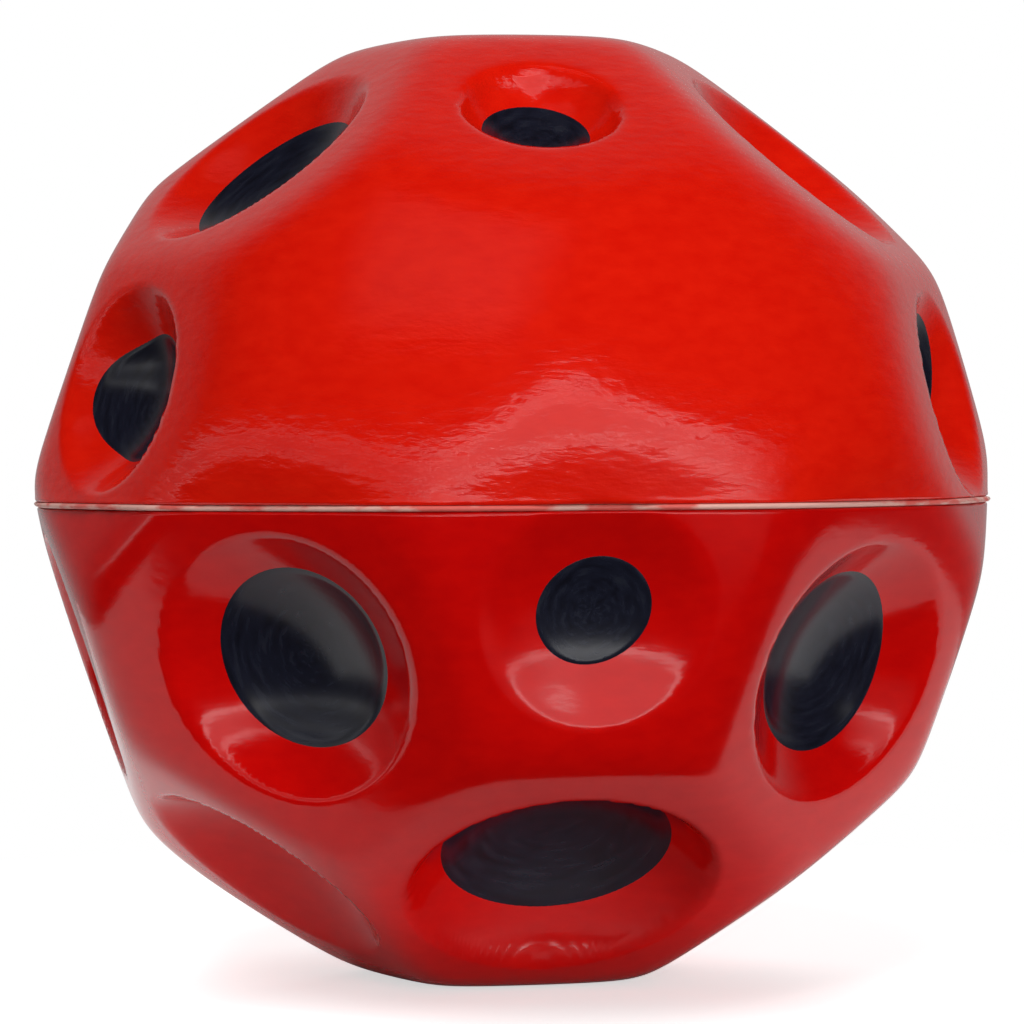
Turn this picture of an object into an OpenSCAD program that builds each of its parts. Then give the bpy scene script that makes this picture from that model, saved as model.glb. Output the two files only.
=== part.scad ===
// A cratered high-bounce ball, moulded from elastic foam in a two-part mould.
// A foam core carries a glossy skin in two halves, a thin web of flash at their parting line,
// and one dark coat of lacquer on the floor of each crater. The ball is flattened round each crater.
// The origin is the ball's centre, +Z is up across the parting line, and the bare front panel faces -Y.

/* [Ball] */
// Diameter of the ball, over its skin
ball_d = 70; // [60:1:80]
// Thickness of the dense skin over the foam
skin_t = 0.6; // [0.4:0.1:1.2]
// Gap left between faces that are bonded on the real ball
bond_gap = 0.02; // [0.01:0.01:0.05]

/* [Parting line] */
// Height of the parting line above the ball's centre
seam_rise = 0.7; // [-2:0.1:2]
// Thickness of the web of flash between the two skins
flash_t = 0.4; // [0.16:0.02:0.8]
// How far the flash stands out of the skin
flash_out = 0.3; // [0.1:0.05:0.8]

/* [Large craters] */
// How far the flat round a large crater lies inside the ball's sphere
large_flat = 2.85; // [2:0.05:3.5]
// Diameter of a large crater's mouth
large_mouth_d = 16.6; // [14:0.2:18]
// Depth of a large crater below its flat
large_depth = 3.9; // [2.5:0.1:5.5]
// Diameter of the dark coat in a large crater
large_coat_d = 13; // [8:0.2:15]

/* [Middle craters] */
// How far the flat round a middle crater lies inside the ball's sphere
middle_flat = 2.1; // [1.4:0.1:3]
// Diameter of a middle crater's mouth
middle_mouth_d = 13.6; // [11:0.2:15]
// Depth of a middle crater below its flat
middle_depth = 3.6; // [2.2:0.1:5]
// Diameter of the dark coat in a middle crater
middle_coat_d = 9.2; // [6:0.2:11]

/* [Small craters] */
// How far the flat round a small crater lies inside the ball's sphere
small_flat = 1.8; // [1.2:0.1:2.6]
// Diameter of a small crater's mouth
small_mouth_d = 10.4; // [9:0.2:13]
// Depth of a small crater below its flat
small_depth = 3.6; // [2:0.1:4.4]
// Diameter of the dark coat in a small crater
small_coat_d = 7.6; // [5:0.2:8.8]

/* [Broad crater] */
// How far the flat round the broad crater under the front lies inside the ball's sphere
broad_flat = 3.4; // [2.6:0.1:4.2]
// Diameter of the broad crater's mouth
broad_mouth_d = 20.4; // [18:0.2:22.4]
// Depth of the broad crater below its flat
broad_depth = 6.3; // [4:0.1:7.5]
// Diameter of the dark coat in the broad crater
broad_coat_d = 16.2; // [10:0.2:17.6]

/* [Dark coats] */
// Thickness of the dark coat on a crater's floor
coat_t = 0.2; // [0.1:0.05:0.5]

/* [Hidden] */
$fn = 96;
ball_r = ball_d / 2;

// Each crater: name, size, degrees round from the front towards the right, degrees above the middle
craters = [
    // Upper half
    ["top", "small", 0, 90],
    ["upper_front", "small", -2.5, 55],
    ["upper_left", "large", -64, 49.5],
    ["upper_right", "large", 61.5, 49],
    ["upper_back_left", "large", -127, 51],
    ["upper_back_right", "large", 128, 51],
    ["upper_back", "small", 180, 52],
    ["high_left", "middle", -64.5, 15],
    ["high_right", "middle", 63, 14],
    ["high_left_side", "large", -100, 19.5],
    ["high_right_side", "large", 104, 18.5],
    ["high_back_left", "large", -145, 18],
    ["high_back_right", "large", 145, 18],
    ["high_back", "small", 180, 19],
    // Lower half
    ["low_front", "small", 0.5, -10.5],
    ["low_left", "large", -37, -17.5],
    ["low_right", "large", 38, -19],
    ["low_left_side", "large", -89, -18],
    ["low_right_side", "large", 82.5, -17.5],
    ["low_back_left", "large", -139, -18.5],
    ["low_back_right", "large", 131, -18.5],
    ["low_back", "small", 180, -13],
    ["under_front", "broad", 0.5, -51.5],
    ["under_left", "large", -65, -50.5],
    ["under_right", "large", 77.5, -52.5],
    ["under_back_left", "large", -144, -55],
    ["under_back_right", "large", 144, -55],
    ["bottom", "small", 0, -90],
];

function crater_name(crater) = crater[0];
function by_size(crater, large, middle, small, broad) =
    crater[1] == "large" ? large : crater[1] == "middle" ? middle : crater[1] == "small" ? small : broad;
function flat_in(crater) = by_size(crater, large_flat, middle_flat, small_flat, broad_flat);
function mouth_r(crater) = by_size(crater, large_mouth_d, middle_mouth_d, small_mouth_d, broad_mouth_d) / 2;
function depth(crater) = by_size(crater, large_depth, middle_depth, small_depth, broad_depth);
function coat_r(crater) = by_size(crater, large_coat_d, middle_coat_d, small_coat_d, broad_coat_d) / 2;
function around(crater) = crater[2];
function above(crater) = crater[3];
function coat_name(crater) = str(crater_name(crater), "_coat");

// A crater is a bowl cut into its flat by a sphere: the flat's distance from the ball's centre,
// the sphere's radius, and how far out its centre lies
function flat_height(crater) = ball_r - flat_in(crater);
function bowl_r(crater) = (mouth_r(crater) ^ 2 + depth(crater) ^ 2) / (2 * depth(crater));
function bowl_centre(crater) = flat_height(crater) - depth(crater) + bowl_r(crater);

// Turns +Z to a crater's own axis
module aim(crater) {
    rotate([0, 90 - above(crater), around(crater) - 90])
        children();
}

module bowl_sphere(crater, shrink) {
    aim(crater)
        translate([0, 0, bowl_centre(crater)])
            sphere(r = bowl_r(crater) - shrink);
}

// All that lies beyond a crater's flat
module flat_cut(crater, grow) {
    aim(crater)
        translate([0, 0, flat_height(crater) + grow])
            cylinder(r = ball_r, h = ball_r);
}

// The cratered ball with every face moved outwards by grow. It stands on the flat of the bottom crater.
module ball_solid(grow) {
    difference() {
        sphere(r = ball_r + grow);
        for (crater = craters) {
            flat_cut(crater, grow);
            bowl_sphere(crater, grow);
        }
    }
}

module skin_shell() {
    difference() {
        ball_solid(0);
        ball_solid(-skin_t);
    }
}

// All that lies between two heights
module slab(low, high) {
    translate([-ball_d, -ball_d, low])
        cube([2 * ball_d, 2 * ball_d, high - low]);
}

// Foam body, set back from the skin all round
module foam_core() {
    color("lightcoral")
        ball_solid(-skin_t - bond_gap);
}

// Skin from the upper half of the mould
module upper_skin() {
    color("orangered")
        intersection() {
            skin_shell();
            slab(seam_rise + flash_t / 2 + bond_gap, ball_d);
        }
}

// Skin from the lower half of the mould
module lower_skin() {
    color("red")
        intersection() {
            skin_shell();
            slab(-ball_d, seam_rise - flash_t / 2 - bond_gap);
        }
}

// Thin web squeezed out between the mould halves
module parting_flash() {
    color("lightpink")
        intersection() {
            difference() {
                ball_solid(flash_out);
                ball_solid(-skin_t);
            }
            slab(seam_rise - flash_t / 2, seam_rise + flash_t / 2);
        }
}

// Cup of dark lacquer on a crater's floor
module crater_coat(crater) {
    color("midnightblue")
        difference() {
            intersection() {
                bowl_sphere(crater, bond_gap);
                aim(crater)
                    cylinder(r = coat_r(crater), h = bowl_centre(crater));
            }
            bowl_sphere(crater, bond_gap + coat_t);
        }
}

foam_core();
upper_skin();
lower_skin();
parting_flash();
for (crater = craters)
    crater_coat(crater);
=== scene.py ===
import math

import bmesh
import bpy
import numpy as np
from mathutils import Matrix, Vector, noise


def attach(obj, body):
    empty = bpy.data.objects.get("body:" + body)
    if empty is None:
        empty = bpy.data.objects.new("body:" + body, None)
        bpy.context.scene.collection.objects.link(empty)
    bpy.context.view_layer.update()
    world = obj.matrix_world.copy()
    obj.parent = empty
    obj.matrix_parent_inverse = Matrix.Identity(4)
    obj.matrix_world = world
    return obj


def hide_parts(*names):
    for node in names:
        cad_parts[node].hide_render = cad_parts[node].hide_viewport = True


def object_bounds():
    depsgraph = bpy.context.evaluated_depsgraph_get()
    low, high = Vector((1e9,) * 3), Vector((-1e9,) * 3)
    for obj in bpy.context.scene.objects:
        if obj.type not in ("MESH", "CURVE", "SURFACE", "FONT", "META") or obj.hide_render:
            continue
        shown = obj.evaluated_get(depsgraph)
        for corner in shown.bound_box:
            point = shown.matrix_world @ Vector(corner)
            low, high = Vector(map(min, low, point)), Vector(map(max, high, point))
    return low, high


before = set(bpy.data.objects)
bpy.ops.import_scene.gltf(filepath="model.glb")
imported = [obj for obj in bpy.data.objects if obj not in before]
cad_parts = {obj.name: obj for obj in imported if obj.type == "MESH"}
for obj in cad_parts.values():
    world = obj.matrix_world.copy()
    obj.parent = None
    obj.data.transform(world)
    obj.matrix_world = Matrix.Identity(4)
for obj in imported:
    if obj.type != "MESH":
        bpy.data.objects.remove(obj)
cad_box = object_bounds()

# Foam core
# The body of the ball is one shot of closed-cell elastic foam, poured into a two-part mould.
# Round studs in the mould leave the craters, each in a flat of its own, with soft lips and ridges.
mm = 0.001
ball_r = 35 * mm
skin_t = 0.6 * mm
bond_gap = 0.02 * mm
ridge_round = 0.5 * mm
upper_lip_round = 2.0 * mm
upper_small_lip_round = 3.0 * mm
lower_lip_round = 3.5 * mm
lip_run_out = 0.3

# Each size of crater: how far its flat lies inside the ball's sphere, radius of its mouth,
# depth below the flat, radius of its dark coat
large = (2.85 * mm, 8.3 * mm, 3.9 * mm, 6.5 * mm)
middle = (2.1 * mm, 6.8 * mm, 3.6 * mm, 4.6 * mm)
small = (1.8 * mm, 5.2 * mm, 3.6 * mm, 3.8 * mm)
shallow = (1.8 * mm, 5.2 * mm, 1.5 * mm, 3.8 * mm)
broad = (3.4 * mm, 10.2 * mm, 6.3 * mm, 8.1 * mm)

# Each crater: size, degrees round from the front towards the right, degrees above the middle
craters = {
    "top": (small, 0, 90),
    "upper_front": (small, -2.5, 55),
    "upper_left": (large, -64, 49.5),
    "upper_right": (large, 61.5, 49),
    "upper_back_left": (large, -127, 51),
    "upper_back_right": (large, 128, 51),
    "upper_back": (small, 180, 52),
    "high_left": (middle, -64.5, 15),
    "high_right": (middle, 63, 14),
    "high_left_side": (large, -100, 19.5),
    "high_right_side": (large, 104, 18.5),
    "high_back_left": (large, -145, 18),
    "high_back_right": (large, 145, 18),
    "high_back": (small, 180, 19),
    "low_front": (shallow, 0.5, -10.5),
    "low_left": (large, -37, -17.5),
    "low_right": (large, 38, -19),
    "low_left_side": (large, -89, -18),
    "low_right_side": (large, 82.5, -17.5),
    "low_back_left": (large, -139, -18.5),
    "low_back_right": (large, 131, -18.5),
    "low_back": (small, 180, -13),
    "under_front": (broad, 0.5, -51.5),
    "under_left": (large, -65, -50.5),
    "under_right": (large, 77.5, -52.5),
    "under_back_left": (large, -144, -55),
    "under_back_right": (large, 144, -55),
    "bottom": (small, 0, -90),
}


def crater_axis(around, above):
    """Unit vector from the ball's centre out through a crater."""
    a, b = math.radians(around), math.radians(above)
    return np.array((math.sin(a) * math.cos(b), -math.cos(a) * math.cos(b), math.sin(b)))


def stud(size):
    """Radius of the mould's round stud, and how far out its centre lies."""
    flat_in, mouth_r, depth, _ = size
    stud_r = (mouth_r ** 2 + depth ** 2) / (2 * depth)
    return stud_r, ball_r - flat_in - depth + stud_r


def stud_distance(along, size):
    """How far out the stud's face lies, for directions at the cosine along to the crater's axis.

    Past the stud it goes on outwards, so that the lip runs out softly into the flat.
    """
    stud_r, centre = stud(size)
    inside = stud_r ** 2 - centre ** 2 * (1 - along ** 2)
    face = centre * along - np.sqrt(np.maximum(inside, 0))
    past = math.sqrt(centre ** 2 - stud_r ** 2) + np.sqrt(lip_run_out * np.maximum(-inside, 0))
    return np.where(along > 0.5, np.where(inside > 0, face, past), 2 * ball_r)


def blended(far, near, width):
    """The lesser of two distances, with the edge where they cross rounded over."""
    share = np.clip(0.5 + 0.5 * (near - far) / width, 0, 1)
    return near * (1 - share) + far * share - width * share * (1 - share)


def ball_distance(way):
    """Distance from the ball's centre to its skin, along each of a list of unit vectors."""
    cut = np.ones(len(way))
    for size, around, above in craters.values():
        along = np.maximum(way @ crater_axis(around, above), 0.5)
        cut += np.exp((ball_r - (ball_r - size[0]) / along) / ridge_round)
    reach = ball_r - ridge_round * np.log(cut)
    for size, around, above in craters.values():
        lip_round = lower_lip_round
        if above > 0:
            lip_round = upper_small_lip_round if size is small else upper_lip_round
        reach = blended(reach, stud_distance(way @ crater_axis(around, above), size), lip_round)
    return reach


def points_of(mesh):
    flat = np.empty(3 * len(mesh.vertices))
    mesh.vertices.foreach_get("co", flat)
    return flat.reshape(-1, 3)


def set_points(mesh, points):
    mesh.vertices.foreach_set("co", points.ravel())
    mesh.update()


def unit_rows(points):
    return points / np.linalg.norm(points, axis=1, keepdims=True)


def finished_object(name, mesh, material, node):
    """A smooth-shaded piece that stands for a node of the frame and stays with the ball."""
    mesh.shade_smooth()
    mesh.materials.append(material)
    piece = bpy.data.objects.new(name, mesh)
    bpy.context.scene.collection.objects.link(piece)
    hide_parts(node)
    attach(piece, "root")
    return piece


def new_material(name):
    """A material with its node tree, its links and its main shader."""
    material = bpy.data.materials.new(name)
    material.use_nodes = True
    tree = material.node_tree
    return material, tree.nodes, tree.links, tree.nodes["Principled BSDF"]


def coloured(nodes, links, source, stops):
    """A colour ramp on a grey value. Each stop is a place and a colour."""
    ramp = nodes.new("ShaderNodeValToRGB")
    links.new(source, ramp.inputs["Fac"])
    for index, (place, colour) in enumerate(stops):
        element = ramp.color_ramp.elements[index] if index < 2 else ramp.color_ramp.elements.new(place)
        element.position = place
        element.color = (*colour, 1)
    return ramp.outputs["Color"]


def grain(nodes, links, scale, detail, stretch=(1, 1, 1)):
    """Fractal noise on the piece's own coordinates, as a grey value."""
    place = nodes.new("ShaderNodeTexCoord")
    mapping = nodes.new("ShaderNodeMapping")
    mapping.inputs["Scale"].default_value = stretch
    links.new(place.outputs["Object"], mapping.inputs["Vector"])
    texture = nodes.new("ShaderNodeTexNoise")
    texture.inputs["Scale"].default_value = scale
    texture.inputs["Detail"].default_value = detail
    links.new(mapping.outputs["Vector"], texture.inputs["Vector"])
    return texture.outputs["Fac"]


def bumped(nodes, links, height, depth, strength, under=None):
    """A bump of the given depth in metres, laid over another one if there is one."""
    bump = nodes.new("ShaderNodeBump")
    bump.inputs["Strength"].default_value = strength
    bump.inputs["Distance"].default_value = depth
    links.new(height, bump.inputs["Height"])
    if under:
        links.new(under, bump.inputs["Normal"])
    return bump.outputs["Normal"]


foam_cell_scale = 2400
foam_cell_depth = 0.05 * mm
foam_stops = [(0.35, (0.62, 0.16, 0.12)), (0.65, (0.86, 0.36, 0.3))]
foam, nodes, links, shader = new_material("foam")
shader.inputs["Roughness"].default_value = 0.85
cells = grain(nodes, links, foam_cell_scale, 3)
links.new(coloured(nodes, links, cells, foam_stops), shader.inputs["Base Color"])
links.new(bumped(nodes, links, cells, foam_cell_depth, 0.6), shader.inputs["Normal"])

bm = bmesh.new()
bmesh.ops.create_icosphere(bm, subdivisions=6, radius=ball_r)
core_mesh = bpy.data.meshes.new("foam_core_body")
bm.to_mesh(core_mesh)
bm.free()
ways = unit_rows(points_of(core_mesh))
set_points(core_mesh, ways * (ball_distance(ways) - skin_t - 2 * bond_gap)[:, None])
core = finished_object("foam_core_body", core_mesh, foam, "foam_core")

# Skins
# Each half of the mould gives the foam a dense glossy skin, red through its thickness.
# The two skins meet the flash at the parting line, where their edges turn over a little.
seam_rise = 0.7 * mm
flash_t = 0.4 * mm
edge_round = 0.2 * mm
steps_around = 420
outer_steps = 170
inner_steps = 60
upper_edge_flare = 0.1 * mm
mottle_scale = 700
ripple_scale = 220
peel_scale = 1200


def crowded(share):
    """Rings stand close together at the parting line and evenly further up."""
    near, drop = 0.04, 0.034
    return (share - drop * (1 - np.exp(-share / near))) / (1 - drop * (1 - math.exp(-1 / near)))


def skin_mesh(name, side, flare):
    """Half of the ball's skin, on the upper side (1) or the lower side (-1) of the parting line.

    A sheet is rolled up, and runs from the pole down the outside to the parting line and back up the inside.
    """
    rows = outer_steps + 1 + inner_steps
    bm = bmesh.new()
    bmesh.ops.create_grid(bm, x_segments=steps_around, y_segments=rows, size=1)
    mesh = bpy.data.meshes.new(name)
    bm.to_mesh(mesh)
    bm.free()
    sheet = points_of(mesh)
    turn = math.pi * sheet[:, 0]
    row = rows * (sheet[:, 1] + 1) / 2
    outside = row < outer_steps + 0.5
    share = np.where(outside, 1 - row / outer_steps, (row - outer_steps - 1) / inner_steps)
    flat = np.stack((np.cos(turn), np.sin(turn), np.zeros(len(turn))), axis=1)
    edge = np.arcsin((seam_rise + side * flash_t / 2) / ball_distance(flat))
    tilt = edge + (side * math.pi / 2 - edge) * crowded(share)
    ways = flat * np.cos(tilt)[:, None] + np.array((0, 0, 1)) * np.sin(tilt)[:, None]
    off_edge = np.abs(tilt - edge) * ball_r
    curl = np.clip(1 - off_edge / edge_round, 0, 1)
    turned_in = edge_round * (1 - np.sqrt(1 - curl ** 2))
    outer_face = flare * np.exp(-off_edge / edge_round) - turned_in
    set_points(mesh, ways * (ball_distance(ways) + np.where(outside, outer_face, -skin_t))[:, None])
    bm = bmesh.new()
    bm.from_mesh(mesh)
    bmesh.ops.remove_doubles(bm, verts=[v for v in bm.verts if v.is_boundary], dist=0.01 * bond_gap)
    bmesh.ops.recalc_face_normals(bm, faces=bm.faces)
    bm.to_mesh(mesh)
    bm.free()
    return mesh


def skin_material(name, colours, gloss, peel_depth, ripple_depth):
    """Moulded skin: a lightly mottled red with the fine peel of the mould and a long, low ripple."""
    material, nodes, links, shader = new_material(name)
    mottle = grain(nodes, links, mottle_scale, 4, (0.8, 0.8, 1.6))
    links.new(coloured(nodes, links, mottle, colours), shader.inputs["Base Color"])
    shader.inputs["Roughness"].default_value = gloss
    shader.inputs["IOR"].default_value = 1.45
    ripple = grain(nodes, links, ripple_scale, 2, (0.6, 0.6, 1.4))
    rippled = bumped(nodes, links, ripple, ripple_depth, 0.5)
    peel = grain(nodes, links, peel_scale, 3, (0.7, 0.7, 1.6))
    links.new(bumped(nodes, links, peel, peel_depth, 0.8, rippled), shader.inputs["Normal"])
    return material


# Painted light: the upper skin's red is set lighter and a little warmer than the lower skin's, standing for
# light falling from above. The two halves' different gloss and peel are their own.
upper_lit_stops = [(0.3, (0.68, 0.006, 0.001)), (0.7, (0.74, 0.01, 0.002))]
lower_shaded_stops = [(0.3, (0.54, 0.001, 0.001)), (0.7, (0.6, 0.002, 0.001))]
upper_red = skin_material("upper_red", upper_lit_stops, gloss=0.15, peel_depth=0.05 * mm, ripple_depth=0.04 * mm)
lower_red = skin_material("lower_red", lower_shaded_stops, gloss=0.12, peel_depth=0.012 * mm, ripple_depth=0.015 * mm)

for name, side, flare, material, slot, node in (
    ("upper_skin_shell", 1, upper_edge_flare, upper_red, "upper_red", "upper_skin"),
    ("lower_skin_shell", -1, 0.0, lower_red, "lower_red", "lower_skin"),
):
    finished_object(name, skin_mesh(name, side, flare), material, node)

# Dark coats
# The floor of each crater carries a patch of blue-black lacquer, brushed on round and round.
# It lies on the skin as a thin film, with nothing else to hold it.
film_t = 0.06 * mm
coat_depth = 0.2 * mm
coat_rings = 28
coat_spokes = 96
film_edge_share = 0.92
strokes_per_metre = 1200
stroke_scale = 2.2
stroke_depth = 0.02 * mm

# Coats that are not quite round. Each wave has a count of lobes, a height as a share of the coat's radius,
# and the angle of its first lobe from the right towards the top.
coat_wave_shares = {
    "high_left": ((1, 0.2, 180), (3, 0.1, 180)),
    "high_right": ((0, -0.1, 0), (1, 0.5, 80)),
    "low_front": ((2, 0.06, 30),),
    "low_right": ((2, 0.04, 110),),
    "upper_front": ((1, 0.06, 180),),
    "under_left": ((0, -0.3, 0), (1, 0.35, 35)),
}


def coat_mesh(name, crater):
    """A cup of film that follows the crater's floor."""
    size, around, above = craters[crater]
    bm = bmesh.new()
    spoke = bm.edges.new((bm.verts.new((0, 0, 0)), bm.verts.new((1, 0, 0))))
    bmesh.ops.subdivide_edges(bm, edges=[spoke], cuts=coat_rings)
    bmesh.ops.spin(bm, geom=bm.verts[:] + bm.edges[:], cent=(0, 0, 0), axis=(0, 0, 1), angle=math.tau,
                   steps=coat_spokes, use_merge=True)
    bmesh.ops.remove_doubles(bm, verts=bm.verts, dist=1e-5)
    bmesh.ops.recalc_face_normals(bm, faces=bm.faces)
    mesh = bpy.data.meshes.new(name)
    bm.to_mesh(mesh)
    bm.free()
    if mesh.polygons[0].normal.z < 0:
        mesh.flip_normals()
    disc = points_of(mesh)
    heading = np.arctan2(disc[:, 1], disc[:, 0])
    spread = np.ones(len(disc))
    for lobes, height, first in coat_wave_shares.get(crater, ()):
        spread += height * np.cos(lobes * (heading - math.radians(first)))
    patch = disc * (size[3] * spread)[:, None]
    stud_r, centre = stud(size)
    level = centre - np.sqrt(stud_r ** 2 - (patch ** 2).sum(axis=1))
    axis = crater_axis(around, above)
    right = np.array((math.cos(math.radians(around)), math.sin(math.radians(around)), 0))
    up = np.cross(axis, right)
    ways = unit_rows(patch[:, :1] * right + patch[:, 1:2] * up + level[:, None] * axis)
    set_points(mesh, ways * ball_distance(ways)[:, None])
    normals = np.empty(3 * len(disc))
    mesh.vertex_normals.foreach_get("vector", normals)
    thin = np.clip((np.linalg.norm(disc, axis=1) - film_edge_share) / (1 - film_edge_share), 0, 1)
    set_points(mesh, points_of(mesh) + normals.reshape(-1, 3) * (film_t * (1 - 2 * thin))[:, None])
    sweep = mesh.attributes.new("sweep", "FLOAT_VECTOR", "POINT")
    sweep.data.foreach_set("vector", patch.ravel())
    return mesh


lacquer, nodes, links, shader = new_material("dark_lacquer")
sweep = nodes.new("ShaderNodeAttribute")
sweep.attribute_name = "sweep"
length = nodes.new("ShaderNodeVectorMath")
length.operation = "LENGTH"
links.new(sweep.outputs["Vector"], length.inputs[0])
heading = nodes.new("ShaderNodeVectorMath")
heading.operation = "NORMALIZE"
links.new(sweep.outputs["Vector"], heading.inputs[0])
round_and_round = nodes.new("ShaderNodeCombineXYZ")
split = nodes.new("ShaderNodeSeparateXYZ")
links.new(heading.outputs["Vector"], split.inputs["Vector"])
ring = nodes.new("ShaderNodeMath")
ring.operation = "MULTIPLY"
ring.inputs[1].default_value = strokes_per_metre
links.new(length.outputs["Value"], ring.inputs[0])
links.new(split.outputs["X"], round_and_round.inputs["X"])
links.new(split.outputs["Y"], round_and_round.inputs["Y"])
links.new(ring.outputs["Value"], round_and_round.inputs["Z"])
strokes = nodes.new("ShaderNodeTexNoise")
strokes.inputs["Scale"].default_value = stroke_scale
strokes.inputs["Detail"].default_value = 5
links.new(round_and_round.outputs["Vector"], strokes.inputs["Vector"])
lacquer_stops = [(0.3, (0.005, 0.005, 0.01)), (0.55, (0.009, 0.01, 0.02)), (0.8, (0.018, 0.02, 0.03))]
links.new(coloured(nodes, links, strokes.outputs["Fac"], lacquer_stops), shader.inputs["Base Color"])
shader.inputs["Roughness"].default_value = 0.2
links.new(bumped(nodes, links, strokes.outputs["Fac"], stroke_depth, 0.2), shader.inputs["Normal"])

for crater in craters:
    label = crater + "_film"
    film = finished_object(label, coat_mesh(label, crater), lacquer, crater + "_coat")
    backing = film.modifiers.new("backing", "SOLIDIFY")
    backing.thickness = coat_depth
    backing.offset = -1

# Parting flash
# Where the mould halves close, a thin web of foam squeezes out and is trimmed off roughly.
# It is red like the skins, and pale in patches where the trimming tore it.
flash_out = 0.3 * mm
flash_root = 1.0 * mm
flash_steps = 1200
tear_scale = 14
chip_scale = 420
chip_patch_scale = 75

# The web's section is drawn once, out at spin_r, in shares of its root, its stand and its thickness
spin_r = 10

bm = bmesh.new()
profile = [bm.verts.new((place, 0, level)) for place, level in
           ((-1, -0.5), (0, -0.5), (0.6, -0.4), (1, 0), (0.6, 0.4), (0, 0.5), (-1, 0.5))]
edges = [bm.edges.new((a, b)) for a, b in zip(profile, profile[1:] + profile[:1])]
bmesh.ops.translate(bm, verts=profile, vec=(spin_r, 0, 0))
bmesh.ops.spin(bm, geom=profile + edges, cent=(0, 0, 0), axis=(0, 0, 1), angle=math.tau, steps=flash_steps,
               use_merge=True)
bmesh.ops.remove_doubles(bm, verts=bm.verts, dist=1e-5)
bmesh.ops.recalc_face_normals(bm, faces=bm.faces)
flash_mesh = bpy.data.meshes.new("parting_flash_web")
bm.to_mesh(flash_mesh)
bm.free()
ring = points_of(flash_mesh)
turn = np.arctan2(ring[:, 1], ring[:, 0])
flat = np.stack((np.cos(turn), np.sin(turn), np.zeros(len(turn))), axis=1)
stand = np.linalg.norm(ring[:, :2], axis=1) - spin_r
torn = np.array([noise.fractal(Vector(way) * tear_scale, 0.6, 2.0, 4) for way in flat])
proud = flash_out * np.clip(0.8 + 0.5 * torn, 0.5, 1)
outward = np.where(stand < 0, flash_root * stand, proud * stand)
set_points(flash_mesh, flat * (ball_distance(flat) + outward)[:, None]
           + np.array((0, 0, 1)) * (seam_rise + ring[:, 2] * (flash_t - 2 * bond_gap))[:, None])

flash_red, nodes, links, shader = new_material("flash")
chips = nodes.new("ShaderNodeMath")
chips.operation = "MULTIPLY"
links.new(grain(nodes, links, chip_scale, 4, (1, 1, 2.5)), chips.inputs[0])
links.new(grain(nodes, links, chip_patch_scale, 2), chips.inputs[1])
flash_stops = [(0.2, (0.7, 0.12, 0.1)), (0.26, (0.76, 0.42, 0.36))]
links.new(coloured(nodes, links, chips.outputs["Value"], flash_stops), shader.inputs["Base Color"])
shader.inputs["Roughness"].default_value = 0.45
finished_object("parting_flash_web", flash_mesh, flash_red, "parting_flash")

# Floor
# A plain white sheet under the ball, which fades into the white surroundings a little way off.
# Its front edge lies just in front of the ball.
floor_half = 100 * mm
floor_front = 30 * mm
floor_lift = 0.6
shadow_near = 45 * mm
shadow_far = 90 * mm
mirrored_white = 0.2
bm = bmesh.new()
bmesh.ops.create_grid(bm, x_segments=1, y_segments=1, size=floor_half)
bmesh.ops.translate(bm, verts=bm.verts, vec=(0, floor_half - floor_front, cad_box[0][2]))
floor_mesh = bpy.data.meshes.new("floor")
bm.to_mesh(floor_mesh)
bm.free()
floor = bpy.data.objects.new("floor", floor_mesh)
bpy.context.scene.collection.objects.link(floor)


def faded(nodes, links, value, start, end):
    """A soft step from 0 to 1 as a grey value goes from start to end."""
    step = nodes.new("ShaderNodeMapRange")
    step.interpolation_type = "SMOOTHSTEP"
    step.inputs["From Min"].default_value = start
    step.inputs["From Max"].default_value = end
    links.new(value, step.inputs["Value"])
    return step.outputs["Result"]


def worked(nodes, links, operation, *values):
    """A sum on grey values, each of them a number or the output of a node."""
    node = nodes.new("ShaderNodeMath")
    node.operation = operation
    for socket, value in zip(node.inputs, values):
        if isinstance(value, (int, float)):
            socket.default_value = value
        else:
            links.new(value, socket)
    return node.outputs["Value"]


sheet, nodes, links, shader = new_material("white_sheet")
shader.inputs["Base Color"].default_value = (0.92, 0.92, 0.92, 1)
shader.inputs["Roughness"].default_value = 0.9
shader.inputs["Specular IOR Level"].default_value = 0
place = nodes.new("ShaderNodeTexCoord")
length = nodes.new("ShaderNodeVectorMath")
length.operation = "LENGTH"
links.new(place.outputs["Object"], length.inputs[0])
path = nodes.new("ShaderNodeLightPath")
mirrored = worked(nodes, links, "MAXIMUM", path.outputs["Is Glossy Ray"], path.outputs["Is Transmission Ray"])
mirrored = worked(nodes, links, "MULTIPLY", mirrored, mirrored_white)
seen = worked(nodes, links, "MAXIMUM", path.outputs["Is Camera Ray"], mirrored)
far_off = faded(nodes, links, length.outputs["Value"], shadow_near, shadow_far)
shader.inputs["Emission Color"].default_value = (1, 1, 1, 1)
links.new(worked(nodes, links, "MULTIPLY", path.outputs["Is Camera Ray"], floor_lift),
          shader.inputs["Emission Strength"])
glow = nodes.new("ShaderNodeEmission")
blend = nodes.new("ShaderNodeMixShader")
links.new(worked(nodes, links, "MULTIPLY", seen, far_off), blend.inputs["Fac"])
links.new(shader.outputs["BSDF"], blend.inputs[1])
links.new(glow.outputs["Emission"], blend.inputs[2])
links.new(blend.outputs["Shader"], nodes["Material Output"].inputs["Surface"])
floor_mesh.materials.append(sheet)

# Light
# A dim room in front of the ball, white surroundings behind it, and a long low window behind the camera
# that is taller a little to the right. A soft sheet of light hangs overhead, and smaller ones stand
# in front and behind.
view_turn = math.radians(-9)
window_low = math.radians(-4)
window_high = math.radians(10)
window_hump = math.radians(16)
hump_turn = math.radians(14)
hump_width = math.radians(13)
window_glow = 1.2
frame_glow = 6
pane_soft = 0.02
top_soft = 0.03
sill_width = 0.018
head_width = 0.02
dim_side = 0.25
room_glow = 0.02
back_glow = 0.2

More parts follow.
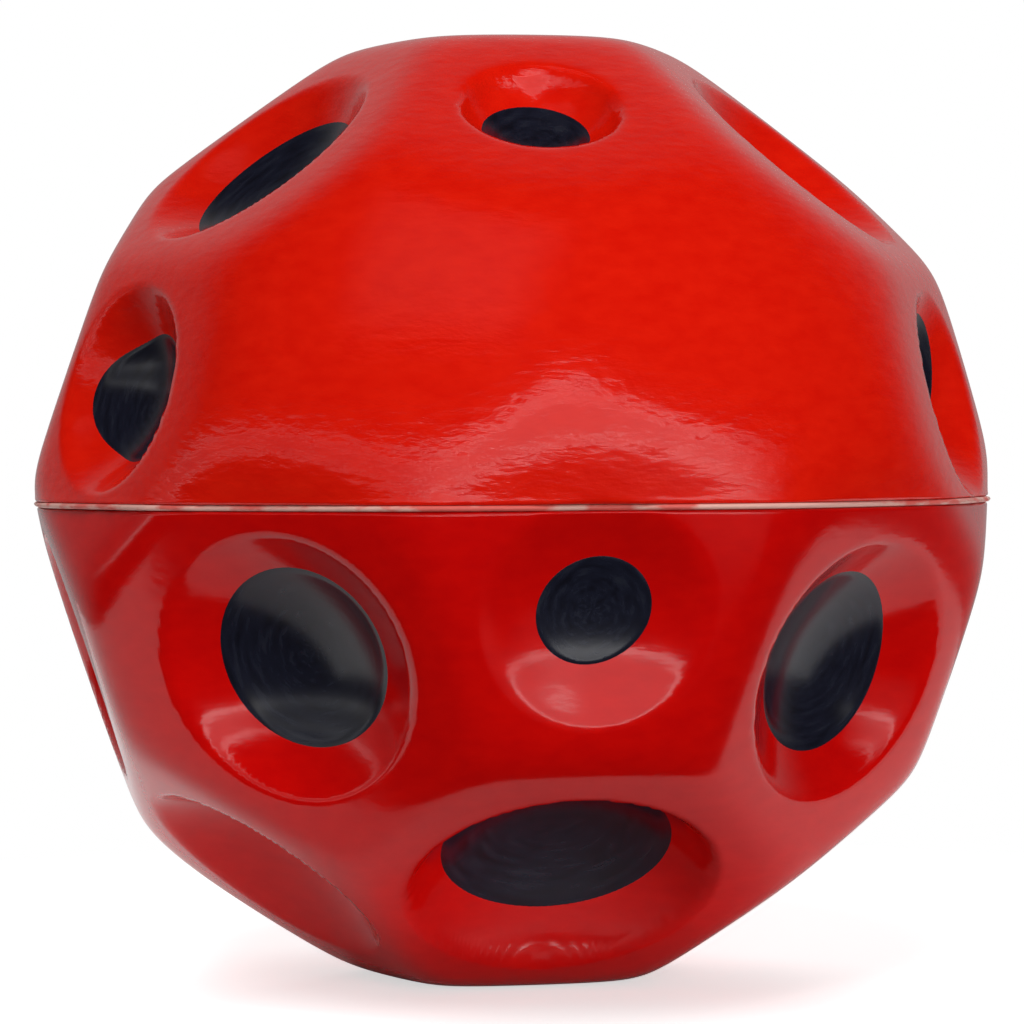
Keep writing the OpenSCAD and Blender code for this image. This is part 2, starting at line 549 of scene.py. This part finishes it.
world = bpy.data.worlds.new("studio")
bpy.context.scene.world = world
world.use_nodes = True
nodes, links = world.node_tree.nodes, world.node_tree.links
place = nodes.new("ShaderNodeTexCoord")
turned = nodes.new("ShaderNodeVectorRotate")
turned.rotation_type = "Z_AXIS"
turned.inputs["Angle"].default_value = -view_turn
links.new(place.outputs["Generated"], turned.inputs["Vector"])
split = nodes.new("ShaderNodeSeparateXYZ")
links.new(turned.outputs["Vector"], split.inputs["Vector"])
towards = worked(nodes, links, "MULTIPLY", split.outputs["Y"], -1)
around = worked(nodes, links, "ARCTAN2", split.outputs["X"], towards)
above = worked(nodes, links, "ARCSINE", split.outputs["Z"])


def hill(value, middle, width):
    """A soft hill of height 1 on a grey value."""
    off = worked(nodes, links, "DIVIDE", worked(nodes, links, "SUBTRACT", value, middle), width)
    return worked(nodes, links, "EXPONENT", times(times(off, off), -1))


def added(first, second):
    return worked(nodes, links, "ADD", first, second)


def times(first, second):
    return worked(nodes, links, "MULTIPLY", first, second)


def less(value):
    return worked(nodes, links, "SUBTRACT", 1, value)


top = added(window_high, times(hill(around, hump_turn, hump_width), window_hump))
over_top = worked(nodes, links, "SUBTRACT", above, top)
pane = times(faded(nodes, links, above, window_low - pane_soft, window_low + pane_soft),
             less(faded(nodes, links, over_top, -top_soft, top_soft)))
rails = added(hill(above, window_low + pane_soft, sill_width), hill(over_top, 0, head_width))
bright_side = times(faded(nodes, links, around, -0.6, 0.0), 1 - dim_side)
ends = times(faded(nodes, links, around, -2.0, -1.5), less(faded(nodes, links, around, 0.6, 1.2)))
across = times(added(dim_side, bright_side), ends)
window = times(across, added(times(pane, window_glow), times(rails, frame_glow)))
behind = faded(nodes, links, split.outputs["Y"], 0.1, 0.9)
room = added(room_glow, times(behind, back_glow))
path = nodes.new("ShaderNodeLightPath")
mirrored = worked(nodes, links, "MAXIMUM", path.outputs["Is Glossy Ray"], path.outputs["Is Transmission Ray"])
mirrored = times(mirrored, times(behind, mirrored_white))
seen = worked(nodes, links, "MAXIMUM", path.outputs["Is Camera Ray"], mirrored)
pick = nodes.new("ShaderNodeMix")
links.new(seen, pick.inputs["Factor"])
links.new(added(room, window), pick.inputs["A"])
pick.inputs["B"].default_value = 1
links.new(pick.outputs["Result"], nodes["Background"].inputs["Strength"])
nodes["Background"].inputs["Color"].default_value = (1, 1, 1, 1)


def lamp(name, place, width, height, power):
    """A soft rectangular lamp that faces the ball and doesn't show in its gloss."""
    data = bpy.data.lights.new(name, "AREA")
    data.shape = "RECTANGLE"
    data.size = width
    data.size_y = height
    data.energy = power
    made = bpy.data.objects.new(name, data)
    made.location = place
    made.rotation_euler = (-Vector(place)).to_track_quat("-Z", "Y").to_euler()
    made.visible_glossy = False
    bpy.context.scene.collection.objects.link(made)


lamp("overhead", (-0.3, -0.5, 0.95), 0.7, 0.7, 8)
lamp("front", (0.5, -0.9, -0.1), 0.6, 0.6, 4.5)
lamp("back", (0.3, 0.85, 0.45), 0.6, 0.6, 7)

# Camera
# It looks at the ball from a little left of its front, level with the parting line.
view_rise = math.radians(1)
view_roll = math.radians(0.31)
view_far = 7 * ball_r
camera_data = bpy.data.cameras.new("camera")
camera_data.sensor_width = 36
camera_data.lens = 119.8
camera_data.shift_x = 0.001
camera_data.shift_y = -0.002
camera_data.clip_start = 0.01
camera = bpy.data.objects.new("camera", camera_data)
bpy.context.scene.collection.objects.link(camera)
camera.location = view_far * Vector((math.sin(view_turn) * math.cos(view_rise),
                                     -math.cos(view_turn) * math.cos(view_rise), math.sin(view_rise)))
facing = (-camera.location).to_track_quat("-Z", "Y").to_matrix()
camera.rotation_euler = (facing @ Matrix.Rotation(-view_roll, 3, "Z")).to_euler()
bpy.context.scene.camera = camera
bpy.context.scene.view_settings.view_transform = "Standard"
